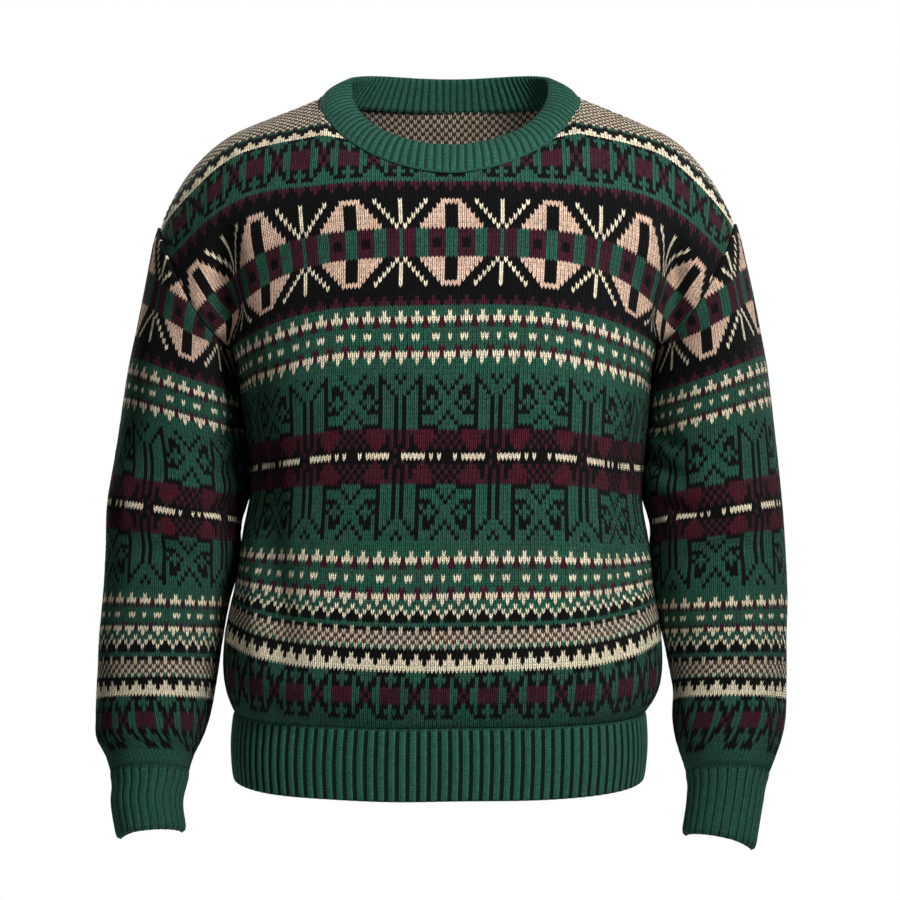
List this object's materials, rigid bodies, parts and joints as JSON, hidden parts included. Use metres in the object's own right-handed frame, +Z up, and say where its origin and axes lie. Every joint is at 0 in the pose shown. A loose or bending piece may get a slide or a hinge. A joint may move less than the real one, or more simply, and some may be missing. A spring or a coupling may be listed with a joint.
{
  "type": "fair isle jumper",
  "caption": "Crew-neck knitted pullover with drop shoulders, banded fair isle pattern and ribbed neck, cuffs and hem, kept hollow as if worn",
  "frame": {"origin": "middle of the neck opening at the height of the shoulder points beside the neckband, where the wearer's shoulders hold the jumper up", "axes": "+Z up the body, -Y out of the front, +X to the right as seen from the front"},
  "size_m": [0.6506, 0.3103, 0.7346],
  "materials": {
    "patterned_knit": "stranded wool knit in green, black, maroon, cream and pink",
    "green_rib": "wool rib knit"
  },
  "bodies": {
    "root": {"front": "patterned_knit", "back": "patterned_knit", "sleeve_left": "patterned_knit", "sleeve_right": "patterned_knit", "welt_front": "green_rib", "welt_back": "green_rib", "cuff_left": "green_rib", "cuff_right": "green_rib", "neckband": "green_rib"}
  },
  "joints": []
}
